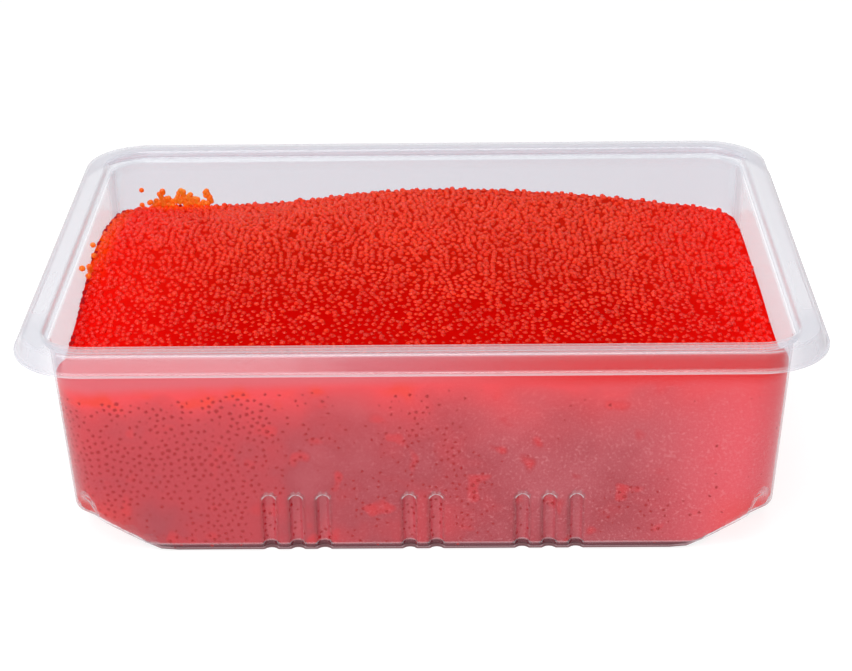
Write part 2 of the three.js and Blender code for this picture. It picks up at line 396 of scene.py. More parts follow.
# Stores at each point how tightly the sheet is bent there, how misted it is, and how much of its whiteness
# and shine it keeps where it is seen on the slant. Bends that run level count in full.
def storeSheet(mesh, rows):
    count = len(mesh.vertices)
    normals = np.empty(count * 3, np.float32)
    edges = np.empty(len(mesh.edges) * 2, np.int32)
    mesh.vertex_normals.foreach_get("vector", normals)
    mesh.edges.foreach_get("vertices", edges)
    points, normals, edges = pointsOf(mesh), normals.reshape(-1, 3), edges.reshape(-1, 2)
    turn = (normals[edges[:, 0]] - normals[edges[:, 1]]) * (marks["uprightBends"], marks["uprightBends"], 1)
    run = np.linalg.norm(points[edges[:, 0]] - points[edges[:, 1]], axis=1)
    curve = np.linalg.norm(turn, axis=1) / np.maximum(run, marks["shortestEdge"])
    tightest = np.zeros(count)
    for end in (0, 1):
        np.maximum.at(tightest, edges[:, end], curve)
    # Whiteness by bending: partly the sheet's own haze, partly painted highlight for the bright lines light
    # draws along bends
    share = ramp(tightest, *marks["bendRange"])
    # Rows of one face from the floor out: the skirt's bends keep a part of this, the lip's cut edge is white
    bend, cut = tub["bendSteps"] + 1, len(skirtCuts)
    factors, least = np.ones(rows), np.zeros(rows)
    factors[-2 - bend:] = marks["lipBend"]
    factors[-2 - 2 * bend - cut:-2 - bend - cut] = marks["topBend"]
    factors[:floorRows + bend] = marks["footBend"]
    recess = slice(-8 - 5 * bend - cut, -5 - 2 * bend - cut)
    factors[recess], least[recess] = marks["recessBend"], marks["recessHaze"]
    least[-2:] = marks["lipFootHaze"], marks["cutEdge"]
    perRow = (count - 2) // (2 * rows)
    share[:-2] *= np.concatenate([factors, factors[::-1]]).repeat(perRow)
    share[:-2] = np.maximum(share[:-2], np.concatenate([least, least[::-1]]).repeat(perRow))
    # Over the roe the back wall is misted and the short ones are milky. The rim is misted but at the front.
    byRow = points[:-2].reshape(2 * rows, perRow, 3)
    inset = tub["length"] / 2 - byRow[:, :, 0].max(axis=1)
    wallEnd = tub["wallInset"] - marks["wallSlack"]
    onWall = ((inset > wallEnd) & (byRow[:, :, 2].max(axis=1) > marks["emptyFrom"])).repeat(perRow)
    onRim = (inset < wallEnd).repeat(perRow)
    x, y, z = np.abs(points[:-2, 0]), points[:-2, 1], points[:-2, 2]
    sideFrom, sideReach = marks["sideArea"]
    cornerFrom = marks["rimCorners"][0]
    onSide = onWall & (x > sideFrom) & (np.abs(y) < sideReach)
    inFront = y < -marks["longSides"]
    mist, slant, body = np.zeros(count), np.ones(count), share[:-2]
    body[onSide] = np.maximum(body[onSide], marks["sideHaze"])
    aside = onRim & ~(inFront & (x < cornerFrom))
    body[aside] = marks["rimBend"][0] + marks["rimBend"][1] * body[aside]
    mist[:-2][onWall & (y > marks["longSides"])] = 1
    mist[:-2][aside] = marks["rimMist"]
    inCorner = onRim & inFront & (x > cornerFrom)
    mist[:-2][inCorner] = marks["cornerMist"] * ramp(x, *marks["rimCorners"])[inCorner]
    beside = besideFlutes(points)
    # Painted shade: near the floor the sheet's whitening and shine on the slant are held back
    slant[:-2] = ramp(z, *marks["footClear"])
    slant[(beside < marks["fluteReach"]) & (points[:, 2] < tub["fluteHeight"] + 1)] *= marks["fluteClear"]
    slant[:-2][onSide] = marks["sideClear"]
    for name, values in (("bend", share), ("mist", mist), ("slant", slant), ("besideFlute", beside)):
        store(mesh, name, values)


def makeTub():
    outer, inner = sheetFace(False), sheetFace(True)
    piece = closedLoft("tubShell", [*outer, *reversed(inner)])
    storeSheet(piece.data, len(outer))
    shadeSmooth(piece)
    return piece


# How far a place on the wall lies outside the outline of its nearest flute, in millimetres
def addFluteGap(add, height, beside):
    inMillimetres = add("ShaderNodeMath", (height, 1 / mm, -domeHeight), operation="MULTIPLY_ADD")
    over = add("ShaderNodeMath", (inMillimetres, 0), operation="MAXIMUM")
    pair = add("ShaderNodeCombineXYZ", (beside, over))
    length = add("ShaderNodeVectorMath", (pair,), operation="LENGTH").outputs["Value"]
    return add("ShaderNodeMath", (length, tub["fluteRadius"]), operation="SUBTRACT")


# Clarified polypropylene sheet, vacuum formed: clear with a milky haze that gathers where it is seen edge on,
# a soft gloss, and slow waves left by the mould
def clearSheet(add):
    sheet = {
        "tint": "#FCFCFE",
        "mistTint": "#ECEDF1",
        "paintedFootShade": "#AE868A",
        "paintedFootShadeHeight": (1.1, 0.6),  # under which the sheet takes on the roe's colour, darkened as painted contact shade
        "milk": "#F4F6FA",
        "milkBehind": 0.35,  # how much of the haze's light comes through from behind
        "haze": 0.012,
        "bendHaze": 0.42,
        "edgeHaze": 0.9,
        "edgePower": 3.8,
        "mistHaze": 0.06,
        "fluteHighlight": 0.7,
        "fluteLine": (0.35, 0.1),  # how far the flutes' white outline reaches, and where it is full
        "fluteDome": (0.3, 0.9),  # over the straight part, where the outline starts and is full
        "fluteSides": 0.04,
        "footHighlight": 0.22,
        "footHeight": 2.2,
        "footLine": (0.35, 0.1),
        "gloss": 0.04,  # what a face of the sheet reflects straight on
        "slantGloss": 0.65,
        "glossPower": 5,
        "roughness": 0.12,
        "waveSize": 9,
        "waveHeight": 0.3,
        "waveStrength": 0.15,
    }
    place = add("ShaderNodeTexCoord").outputs["Object"]
    height = add("ShaderNodeSeparateXYZ", (place,)).outputs["Z"]
    waves = add("ShaderNodeTexNoise", {"Vector": place, "Scale": 1 / (sheet["waveSize"] * mm), "Detail": 1})
    bump = add("ShaderNodeBump", {
        "Height": waves,
        "Strength": sheet["waveStrength"],
        "Distance": sheet["waveHeight"] * mm,
    })
    bend, mist, slant, beside = (
        add("ShaderNodeAttribute", attribute_name=name).outputs["Fac"]
        for name in ("bend", "mist", "slant", "besideFlute")
    )
    # How much whiter, and how much shinier, the sheet is on the slant
    facing = add("ShaderNodeLayerWeight", {"Blend": 0.5}).outputs["Facing"]
    slanting = []
    for power in (sheet["edgePower"], sheet["glossPower"]):
        raised = add("ShaderNodeMath", (facing, power), operation="POWER")
        slanting.append(add("ShaderNodeMath", (raised, slant), operation="MULTIPLY"))
    whiter, shinier = slanting
    # Painted highlights: white lines round the flutes' domes and along the foot of the walls, where light
    # catches the curved sheet
    aboveFoot = add("ShaderNodeMath", (height, sheet["footHeight"] * mm), operation="SUBTRACT")
    lines = []
    for gap, line, size in ((addFluteGap(add, height, beside), "fluteLine", 1), (aboveFoot, "footLine", mm)):
        away = add("ShaderNodeMath", (gap,), operation="ABSOLUTE")
        reach = [away, *(end * size for end in sheet[line])]
        lines.append(add("ShaderNodeMapRange", reach, interpolation_type="SMOOTHSTEP"))
    domeStart, domeFull = ((domeHeight + above) * mm for above in sheet["fluteDome"])
    domed = add("ShaderNodeMapRange", (height, domeStart, domeFull, sheet["fluteSides"]))
    outline, foot = lines
    arc = add("ShaderNodeMath", (outline, domed), operation="MULTIPLY")
    haze = sheet["haze"]
    for share, strength in (
        (whiter, "edgeHaze"),
        (bend, "bendHaze"),
        (mist, "mistHaze"),
        (arc, "fluteHighlight"),
        (foot, "footHighlight"),
    ):
        haze = add("ShaderNodeMath", (share, sheet[strength], haze), operation="MULTIPLY_ADD")
    gloss = add("ShaderNodeMath", (shinier, sheet["slantGloss"], sheet["gloss"]), operation="MULTIPLY_ADD")
    # Painted shade: the sheet turns a dull pink at its very bottom, for the contact shadow under the base
    under = add("ShaderNodeMapRange", (height, *(end * mm for end in sheet["paintedFootShadeHeight"])))
    tint = sheet["tint"]
    for share, tone in ((mist, "mistTint"), (under, "paintedFootShade")):
        tint = add("ShaderNodeMix", {0: share, 6: tint, 7: sheet[tone]}, data_type="RGBA").outputs[2]
    clear = add("ShaderNodeBsdfTransparent", {"Color": tint})
    front = add("ShaderNodeBsdfDiffuse", {"Color": sheet["milk"]})
    back = add("ShaderNodeBsdfTranslucent", {"Color": sheet["milk"]})
    milk = add("ShaderNodeMixShader", (sheet["milkBehind"], front, back))
    body = add("ShaderNodeMixShader", (haze, clear, milk))
    shine = add("ShaderNodeBsdfGlossy", {"Roughness": sheet["roughness"], "Normal": bump})
    return add("ShaderNodeMixShader", (gloss, body, shine))


tubShell = makeTub()
tubShell.data.materials.append(newMaterial("clarified polypropylene sheet", clearSheet))
print("tub shell:", len(tubShell.data.polygons), "faces")


# The roe. The heap's top follows the same rule as its solid.
roe = {
    "eggDiameter": 1.6,
    "reachIntoWall": 0.1,  # how far an egg reaches into the plastic
    "edgeLevel": tub["height"] - 12,
    "crown": 5.2,
    "swells": (
        (-1, 0.3, 4.3, 0.38),
        (1, 0, -1.2, 0.5),
        (0.1, 1, 1.9, 0.35),
        (-0.6, 1, -2.3, 0.3),
        (-1, 1, -2.4, 0.3),
        (0.95, 1, -4, 0.3),
        (-0.9, -1, -2.2, 0.3),
    ),
    "rippleHeight": 0.5,
    "mounds": (5.1, 1.3, 3.7, -0.6),  # a wave along and a wave across, each with its rate and its start
    "furrows": (8.3, 2),
    "bedSink": 0.5,  # of the lowest eggs' centres under the heap's top
    "coreSink": -0.21,  # along the front, where brine stands between the eggs
    "backSinks": (0.45, 0.9),  # how much lower the core lies behind and aside, on the top and at the plastic
    "sinkAlong": (-44, 20),
    "sinkAside": (64, 76),
    "filmReach": 0.03,  # how far the brine between the eggs reaches into the plastic
    "footRound": 0.4,  # least radius of a body's foot
    "pressBlend": 1.2,  # how much softer the pressed forms are than the plastic's
    "rimShare": 0.999,  # where the top's first ring and its others lie, from the middle to the plastic
    "topShares": (0.985, *np.linspace(0.97, 0.01, 50)),
    "topDrop": -20,  # stored on the top, where nothing lies under its rim
    "wallDrop": -15,  # a larger drop is on the walls
    "wallSteps": 20,
}
heapInset = tub["wallInset"] + tub["sheet"] - (tub["height"] - ledgeHeight) * wallSlope


def heapHeight(x, y):
    along = x / (tub["length"] / 2 - heapInset)
    across = y / (tub["width"] / 2 - heapInset)
    height = roe["edgeLevel"] + roe["crown"] * (1 - along ** 2) * (1 - across ** 2)
    for middleAlong, middleAcross, rise, spread in roe["swells"]:
        distance = np.hypot(along - middleAlong, across - middleAcross) / spread
        height = height + rise * np.exp(-(distance ** 2) / 2)
    rate, start, crossRate, crossStart = roe["mounds"]
    mounds = np.sin(rate * along + start) * np.cos(crossRate * across + crossStart)
    rate, start = roe["furrows"]
    return height + roe["rippleHeight"] / 2 * (mounds + np.sin(rate * along * across + start))


# A ring on the plain part of the wall, at a depth inside the plastic's outer face and at given heights
def wallRing(depth, heights):
    lower, upper = (ringPoints(wallInsetAt(z) + depth, z) for z in (pressedTop, ledgeHeight))
    share = (heights - lower[:, 2]) / (upper[:, 2] - lower[:, 2])
    return lower + (upper - lower) * share[:, None]


# A closed body of roe at a depth inside the plastic's outer face, with its top a little under the heap's.
# Faces have their zone, 0 the top, 1 the walls, 2 the floor, and points their drop under the rim of the top.
def roeBody(name, depth, sink, backSinks=(0, 0)):
    foot = wallInsetAt(depth) + depth
    corners = [
        (foot + tub["floorMargin"], depth, 0),
        (foot, depth, max(tub["baseRound"] - depth, roe["footRound"])),
        (wallInsetAt(pressedTop) + depth, pressedTop, 0),
    ]
    lowShares = (lowHeights - tub["baseRound"]) / (pressedTop - tub["baseRound"])
    low = [ringPoints(*point) for point in bentLine(corners, [(0, 0.25, 0.5, 0.75), (*lowShares, 1)])]
    rings = [pressIn(ring, depth, roe["pressBlend"]) for ring in [*floorRings(low[0]), *low]]

    def topAt(points, backSink):
        x, y = points[:, 0], points[:, 1]
        behind, aside = ramp(y, *roe["sinkAlong"]), ramp(abs(x), *roe["sinkAside"])
        return heapHeight(x, y) - sink - backSink * np.maximum(behind, aside)

    rim = roe["edgeLevel"]
    for _ in range(3):
        edge = wallRing(depth, rim)
        rim = topAt(edge, backSinks[1])
    for step in range(1, roe["wallSteps"] + 1):
        rings.append(wallRing(depth, pressedTop + (rim - pressedTop) * step / roe["wallSteps"]))
    wallCount = len(rings)
    for share in (roe["rimShare"], *roe["topShares"]):
        ring = edge * np.array([share, share, 1])
        ring[:, 2] = topAt(ring, backSinks[share == roe["rimShare"]])
        rings.append(ring)
    piece = closedLoft(name, rings)
    perRing = len(edge)
    zones = np.zeros(len(piece.data.polygons), np.int32)
    floorEnd, wallEnd, fans = ((count - 1) * perRing for count in (floorRows, wallCount, len(rings)))
    zones[:floorEnd] = zones[fans::2] = 2
    zones[floorEnd:wallEnd] = 1
    piece.data.attributes.new("zone", "INT", "FACE").data.foreach_set("value", zones)
    drops = np.full(len(piece.data.vertices), float(roe["topDrop"]))
    drops[:wallCount * perRing] = np.concatenate([rim - ring[:, 2] for ring in rings[:wallCount]])
    drops[-2] = roe["edgeLevel"]
    store(piece.data, "drop", drops)
    store(piece.data, "besideFlute", besideFlutes(pointsOf(piece.data)))
    shadeSmooth(piece)
    return piece


# An egg of 32 triangles: an octahedron split once and blown up to a ball
def eggShape():
    radius = roe["eggDiameter"] / 2
    axes = [unit(*point) for point in ((1, 0, 0), (0, 1, 0), (-1, 0, 0), (0, -1, 0), (0, 0, 1), (0, 0, -1))]
    points, faces, middles = [axis * radius for axis in axes], [], {}

    def middle(one, other):
        key = (min(one, other), max(one, other))
        if key not in middles:
            middles[key] = len(points)
            points.append(unit(*(points[one] + points[other])) * radius)
        return middles[key]

    for side in range(4):
        after = (side + 1) % 4
        for corners in ((side, after, 4), (after, side, 5)):
            first, second, third = corners
            one, two, three = middle(first, second), middle(second, third), middle(third, first)
            faces += [(first, one, three), (one, second, two), (three, two, third), (one, two, three)]
    return meshPiece("eggShape", points, faces)


# How firmly the roe presses on the plastic, about 0.2 to 0.8: in patches, more so to the left and low down,
# and in small clusters
contact = {
    "patchSize": 17,
    "leftward": 2.6,
    "downward": 3.5,
    "middle": 22,
    "clusterSize": 7,
    "clusterFrom": (0.61, 0.73),
    "clusterRise": 0.4,
    "detail": 3,
    "roughness": 0.55,
}


def addContact(add, place):
    patches = add("ShaderNodeTexNoise", {
        "Vector": place,
        "Scale": 1 / (contact["patchSize"] * mm),
        "Detail": contact["detail"],
        "Roughness": contact["roughness"],
    })
    x, _, z = add("ShaderNodeSeparateXYZ", (place,)).outputs
    height = add("ShaderNodeMath", (z, contact["middle"] * mm), operation="SUBTRACT")
    whole = patches
    for value, slope in ((x, "leftward"), (height, "downward")):
        whole = add("ShaderNodeMath", (value, -contact[slope], whole), operation="MULTIPLY_ADD")
    clusters = addClusters(add, place, contact["clusterRise"])
    return add("ShaderNodeMath", (whole, clusters), operation="ADD")


def addClusters(add, place, most):
    size = contact["clusterSize"] * mm
    noise = add("ShaderNodeTexNoise", {"Vector": place, "Scale": 1 / size, "Detail": 1})
    return add("ShaderNodeMapRange", (noise, *contact["clusterFrom"], 0, most))


# How eggs are strewn, besides what the tree's inputs say
strewing = {
    "density": 3e6,  # places tried per square metre, before the spacing thins them out
    "evenContact": 0.5,  # where the contact leaves an egg as high as it is
    "fluteDraw": (4, -3),  # few eggs lie in a flute: the gap one needs is its draw times this plus this
    "drawSeed": 11,
    "smallest": 0.92,
    "largest": 1.07,
    "sizeSeed": 5,
    "fullTurn": 6.283,
}
lengths = ("Spacing", "Lift", "Unevenness", "Contact", "Highest", "Lowest")


# A tree that strews eggs over one zone of a body, keeps a share of them, and makes them one mesh
def eggTree():
    tree = bpy.data.node_groups.new("strewn eggs", "GeometryNodeTree")
    inputs = {"Geometry": "Geometry", "Egg": "Object", "Zone": "Int"}
    inputs |= {name: "Float" for name in (*lengths, "Share From", "Share To")}
    inputs |= {"Seed": "Int", "Material": "Material"}
    for name, kind in inputs.items():
        tree.interface.new_socket(name, in_out="INPUT", socket_type="NodeSocket" + kind)
    tree.interface.new_socket("Geometry", in_out="OUTPUT", socket_type="NodeSocketGeometry")
    add = partial(addNode, tree)
    given = add("NodeGroupInput").outputs
    zone = add("GeometryNodeInputNamedAttribute", {"Name": "zone"}, data_type="INT")
    inZone = add("FunctionNodeCompare", {2: zone, 3: given["Zone"]}, data_type="INT", operation="EQUAL")
    strew = add("GeometryNodeDistributePointsOnFaces", {
        "Mesh": given["Geometry"],
        "Selection": inZone,
        "Distance Min": given["Spacing"],
        "Density Max": strewing["density"],
        "Seed": given["Seed"],
    }, distribute_method="POISSON")
    place = add("GeometryNodeInputPosition")
    shift, draw = (
        add("FunctionNodeRandomValue", {"Seed": seed}, data_type="FLOAT").outputs[1]
        for seed in (given["Seed"], strewing["drawSeed"])
    )
    firm = add("ShaderNodeMath", (addContact(add, place), strewing["evenContact"]), operation="SUBTRACT")
    lift = given["Lift"]
    for value, weight in ((shift, "Unevenness"), (firm, "Contact")):
        lift = add("ShaderNodeMath", (value, given[weight], lift), operation="MULTIPLY_ADD")
    lift = add("ShaderNodeMath", (lift, given["Highest"]), operation="MINIMUM")
    offset = add("ShaderNodeVectorMath", {0: strew.outputs["Normal"], "Scale": lift}, operation="SCALE")
    shifted = add("GeometryNodeSetPosition", {"Geometry": strew, "Offset": offset})
    height = add("ShaderNodeSeparateXYZ", (place,)).outputs["Z"]
    beside = add("GeometryNodeInputNamedAttribute", {"Name": "besideFlute"}, data_type="FLOAT")
    needed = add("ShaderNodeMath", (draw, *strewing["fluteDraw"]), operation="MULTIPLY_ADD")
    kept = True
    for more, less in (
        (draw, given["Share From"]),
        (given["Share To"], draw),
        (lift, given["Lowest"]),
        (addFluteGap(add, height, beside), needed),
    ):
        passes = add("FunctionNodeCompare", (more, less), operation="GREATER_THAN")
        kept = add("FunctionNodeBooleanMath", (kept, passes), operation="AND")
    egg = add("GeometryNodeObjectInfo", {"Object": given["Egg"]})
    turn = add("FunctionNodeRandomValue", {1: (strewing["fullTurn"],) * 3}, data_type="FLOAT_VECTOR")
    sizes = {2: strewing["smallest"], 3: strewing["largest"], "Seed": strewing["sizeSeed"]}
    size = add("FunctionNodeRandomValue", sizes, data_type="FLOAT")
    eggs = add("GeometryNodeInstanceOnPoints", {
        "Points": shifted,
        "Selection": kept,
        "Instance": egg.outputs["Geometry"],
        "Rotation": turn,
        "Scale": size.outputs[1],
    })
    real = add("GeometryNodeRealizeInstances", (eggs,))
    smooth = add("GeometryNodeSetShadeSmooth", (real,))
    dressed = add("GeometryNodeSetMaterial", {"Geometry": smooth, "Material": given["Material"]})
    add("NodeGroupOutput", (dressed,))
    return tree


# Runs a tree on a carrier mesh and keeps the result as a plain mesh of its own
def grow(name, tree, carrier, values):
    piece = newObject(name, carrier.data)
    modifier = piece.modifiers.new("grow", "NODES")
    modifier.node_group = tree
    for socket in tree.interface.items_tree:
        if socket.in_out == "INPUT" and socket.name in values:
            modifier[socket.identifier] = values[socket.name]
    evaluated = piece.evaluated_get(bpy.context.evaluated_depsgraph_get())
    mesh = bpy.data.meshes.new_from_object(evaluated)
    piece.modifiers.clear()
    piece.data = mesh
    mesh.name = name
    return piece


# How the heap's colour shifts from place to place: purer towards the short walls; paler towards the back,
# which is painted sheen of the bright room on the far eggs; and orange in thin places, along the back of the
# left wall and in the back left corner, which is painted light shining through the roe
heapTones = {
    "side": "#F60E08",
    "sideReach": (45, 80),
    "sideShare": 0.75,
    "back": "#F24824",
    "backReach": (-25, 50),
    "backShare": 0.6,
    "orange": "#FF5006",
    "leftReach": (-76, -81),
    "leftAlong": (-8, 14),
    "thinMiddle": (-66, 57),
    "thinSize": (14, 6),
    "thinReach": (1.15, 0.55),
}


def placedTones(add, place, colour, backShare=heapTones["backShare"]):
    x, y, _ = add("ShaderNodeSeparateXYZ", (place,)).outputs
    aside = add("ShaderNodeMath", (x,), operation="ABSOLUTE")
    side, back, left, along = (
        add("ShaderNodeMapRange", (value, *(end * mm for end in heapTones[reach]), 0, most))
        for value, reach, most in (
            (aside, "sideReach", heapTones["sideShare"]),
            (y, "backReach", backShare),
            (x, "leftReach", 1),
            (y, "leftAlong", 1),
        )
    )
    # Painted light: orange along the back of the left wall and in a thin spot at the back left, where light
    # shines through the roe
    margin = add("ShaderNodeMath", (left, along), operation="MULTIPLY")
    middle = (*(value * mm for value in heapTones["thinMiddle"]), 0)
    stretch = (*(1 / (value * mm) for value in heapTones["thinSize"]), 0)
    fromThin = add("ShaderNodeVectorMath", (place, middle), operation="SUBTRACT")
    inThin = add("ShaderNodeVectorMath", (fromThin, stretch), operation="MULTIPLY")
    length = add("ShaderNodeVectorMath", (inThin,), operation="LENGTH").outputs["Value"]
    thin = add("ShaderNodeMapRange", (length, *heapTones["thinReach"]))
    orange = add("ShaderNodeMath", (margin, thin), operation="MAXIMUM")
    for share, tone in ((back, "back"), (side, "side"), (orange, "orange")):
        colour = add("ShaderNodeMix", {0: share, 6: colour, 7: heapTones[tone]}, data_type="RGBA").outputs[2]
    return colour


# Flying fish roe, salted and dyed: a taut glossy skin over clear jelly, lit through, so no egg is dark
# inside. A glow given to an egg is painted light, for light shining through it from behind.
def roeSkin(add, colour, deep, tones=True, glow=0.0):
    skin = {
        "patchSize": 14,
        "patchContrast": (0.35, 0.65),
        "roughness": 0.2,
        "refraction": 1.37,
        "specular": 0.34,
        "litThrough": 0.7,
        "lightReach": 0.8,  # millimetres for red light, and shares of it for the three colours
        "lightShares": (1.0, 0.1, 0.05),
    }
    place = add("ShaderNodeTexCoord").outputs["Object"]
    patches = add("ShaderNodeTexNoise", {"Vector": place, "Scale": 1 / (skin["patchSize"] * mm), "Detail": 2})
    contrast = add("ShaderNodeMapRange", (patches, *skin["patchContrast"]))
    tone = add("ShaderNodeMix", {0: contrast, 6: deep, 7: colour}, data_type="RGBA").outputs[2]
    return add("ShaderNodeBsdfPrincipled", {
        "Base Color": placedTones(add, place, tone) if tones else tone,
        "Roughness": skin["roughness"],
        "IOR": skin["refraction"],
        "Specular IOR Level": skin["specular"],
        "Subsurface Weight": skin["litThrough"],
        "Subsurface Radius": skin["lightShares"],
        "Subsurface Scale": skin["lightReach"] * mm,
        "Emission Color": colour,
        "Emission Strength": glow,
    })


# Brine and skins pressed flat on the plastic: red where the roe touches it, a greyer pink where it only
# nearly does, and clear red under the top's eggs. Light and shade are painted into it: bright and warm along
# the top where light gets in, paler towards the right wall and warmer low in the corners where light comes in
# from the sides, lighter in the flutes against their shade, and darker at the foot for the contact shadow
brineTones = {
    "contact": ((0.3, "#BA5159"), (0.5, "#AE3E47"), (0.7, "#C03942")),
    "spots": "#E0242A",
    "margin": "#EC5862",
    # Painted light: paler pink towards the right wall, where light comes in from the side
    "grain": "#F0A4A8",
    "lit": "#F2454A",
    # Painted light: warm red in patches where the light from above reaches down the wall
    "warm": "#F23A24",
    "smear": "#E2626A",
    "smearRight": "#E61C20",
    # Painted light: lighter pink in the flutes, against the shade in their hollows
    "flute": "#E47A82",
    # Painted light: warmer red low in the corners, where light comes in through them
    "lowCorner": "#E83A34",
    # Painted shade: darker at the foot of the wall, for the contact shadow
    "foot": "#74303A",
    "pressed": "#AC020E",
    "under": "#C80502",
    "underBack": "#BE0502",
}
brine = {
    "spotShare": 0.42,
    "noises": {"grain": 0.6, "waves": 12, "patches": 7.2},  # sizes in millimetres
    "waves": (0.3, 0.7, 0, 4),  # how much further down the light comes in places
    "litFrom": 2,
    "litFall": 6.5,  # over how many millimetres down the wall the light fades
    "topBackShare": 0.2,
    "roughness": 0.5,
    # What each share goes by, from where to where, and what it is at either end if that isn't 0 and 1
    "shares": {
        "margin": ("x", 42, 76),
        "grains": ("grain", 0.52, 0.78, 0, 0.26),
        "grainAlong": ("x", -60, 30),
        "litAlong": ("x", 10, 60, 1, 0.65),
        "warmPatches": ("patches", 0.5, 0.68, 0, 0.8),
        "warmInLight": ("light", 0.55, 0.9),
        "warmAlong": ("x", 30, -20),
        "smear": ("drop", 0.5, -3),
        "smearAlong": ("x", -20, 45),
        "flute": ("gap", 0.2, -0.5, 0, 0.25),
        "cornerAlong": ("aside", 60, 74, 0, 0.6),
        "cornerHeight": ("z", 17, 8),
        "foot": ("z", 2, 1.6),
        "underAlong": ("y", -40, 0),
    },
    # Tones laid over each other, each by the product of the shares after it
    "layers": (
        ("spots", "clusters"),
        ("margin", "margin"),
        ("grain", "grains", "grainAlong"),
        ("lit", "light", "litAlong"),
        ("warm", "warmPatches", "warmInLight", "warmAlong"),
        ("smear", "smear"),
        ("flute", "flute"),
        ("lowCorner", "cornerAlong", "cornerHeight"),
        ("foot", "foot"),
        ("pressed", "pressed"),
    ),
}


def brineFilm(add, pressed=0.0):
    tones = dict(brineTones)
    place = add("ShaderNodeTexCoord").outputs["Object"]
    x, y, z = add("ShaderNodeSeparateXYZ", (place,)).outputs
    stored = [add("ShaderNodeAttribute", attribute_name=name) for name in ("drop", "besideFlute")]
    drop, beside = (attribute.outputs["Fac"] for attribute in stored)
    aside = add("ShaderNodeMath", (x,), operation="ABSOLUTE")
    values = {"x": x, "y": y, "z": z, "aside": aside, "drop": drop, "gap": addFluteGap(add, z, beside)}
    for noise, size in brine["noises"].items():
        values[noise] = add("ShaderNodeTexNoise", {"Vector": place, "Scale": 1 / (size * mm), "Detail": 1})
    # Light from above fades down the wall
    waves = add("ShaderNodeMapRange", (values["waves"], *brine["waves"]), interpolation_type="SMOOTHSTEP")
    light = drop
    for operation, other in (
        ("ADD", waves),
        ("SUBTRACT", brine["litFrom"]),
        ("MULTIPLY", -1 / brine["litFall"]),
        ("EXPONENT", 0),
        ("MINIMUM", 1),
    ):
        light = add("ShaderNodeMath", (light, other), operation=operation)
    values["light"] = light
    shares = {"clusters": addClusters(add, place, brine["spotShare"]), "light": light, "pressed": pressed}
    for share, (value, start, end, *ends) in brine["shares"].items():
        size = mm if value in ("x", "y", "z", "aside") else 1
        sockets = (values[value], start * size, end * size, *ends)
        shares[share] = add("ShaderNodeMapRange", sockets, interpolation_type="SMOOTHSTEP")
    for tone, share, other in (("smear", "smearAlong", "smearRight"), ("under", "underAlong", "underBack")):
        sockets = {0: shares[share], 6: tones[tone], 7: tones[other]}
        tones[tone] = add("ShaderNodeMix", sockets, data_type="RGBA").outputs[2]
    colour = add("ShaderNodeValToRGB", (addContact(add, place),))
    ramp = colour.color_ramp.elements
    for step, (position, tone) in enumerate(brineTones["contact"]):
        element = ramp[step] if step < 2 else ramp.new(position)
        element.position = position
        element.color = hexColour(tone)
    for tone, first, *others in brine["layers"]:
        share = shares[first]
        for other in others:
            share = add("ShaderNodeMath", (share, shares[other]), operation="MULTIPLY")
        colour = add("ShaderNodeMix", {0: share, 6: colour, 7: tones[tone]}, data_type="RGBA").outputs[2]
    atWall = add("ShaderNodeMath", (drop, roe["wallDrop"]), operation="GREATER_THAN")
    top = placedTones(add, place, tones["under"], brine["topBackShare"])
    whole = add("ShaderNodeMix", {0: atWall, 6: top, 7: colour}, data_type="RGBA")
    return add("ShaderNodeBsdfPrincipled", {
        "Base Color": whole.outputs[2],
        "Roughness": brine["roughness"],
        "Specular IOR Level": 0.0,
    })


# Brine smeared up the front wall over the heap's edge, as a closed band whose top edge fades out at the sides
def makeSmear():
    smear = {
        "climb": 12,
        "climbWaves": (0.5, 9),  # height and length in millimetres
        "rimSink": 0.8,
        "below": 1.2,
        "underLedge": 1.2,
        "ledgeWaves": (0.3, 5),
        "fromFilm": 0.02,
        "thickness": 0.12,
        "rows": 8,
        "fade": (-57, -48),  # how far across the band has its full height, and where it ends
    }
    outerDepth = tub["sheet"] - roe["filmReach"] - smear["fromFilm"]
    foot = wallRing(outerDepth, roe["edgeLevel"])
    rim = heapHeight(foot[:, 0], foot[:, 1])
    forward = ramp(foot[:, 1], *reversed(smear["fade"]))
    climbWaves, ledgeWaves = (
        height * np.sin(foot[:, 0] / size) for height, size in (smear["climbWaves"], smear["ledgeWaves"])
    )
    top = rim - smear["rimSink"] + (smear["climb"] + climbWaves) * forward
    top = np.minimum(top, ledgeHeight - smear["underLedge"] + ledgeWaves)
    bottom = rim - smear["below"]
    rings = []
    for depth, order in ((outerDepth, 1), (outerDepth + smear["thickness"], -1)):
        for share in np.linspace(0, 1, smear["rows"])[::order]:
            rings.append(wallRing(depth, bottom + (top - bottom) * share))
    piece = meshPiece("brineSmear", np.concatenate(rings), ringQuads(rings, True))
    shadeSmooth(piece, 40)
    store(piece.data, "drop", np.concatenate([rim - roe["coreSink"] - ring[:, 2] for ring in rings]))
    return piece


bedDepth = tub["sheet"] + roe["eggDiameter"] / 2 - roe["reachIntoWall"]
eggBed = roeBody("eggBed", bedDepth, roe["bedSink"])
roeCore = roeBody("roeCore", tub["sheet"] - roe["filmReach"], roe["coreSink"], roe["backSinks"])
brineSmear = makeSmear()
film = newMaterial("brine between eggs", brineFilm)
pressedSkin = newMaterial("roe skin, pressed on the plastic", brineFilm, 0.8)
for piece in (roeCore, brineSmear):
    piece.data.materials.append(film)
egg = eggShape()
strewnEggs = eggTree()
redSkin = newMaterial("roe skin, red", roeSkin, "#E0240C", "#D21A07")
scarletSkin = newMaterial("roe skin, scarlet", roeSkin, "#EA3012", "#DC260E")
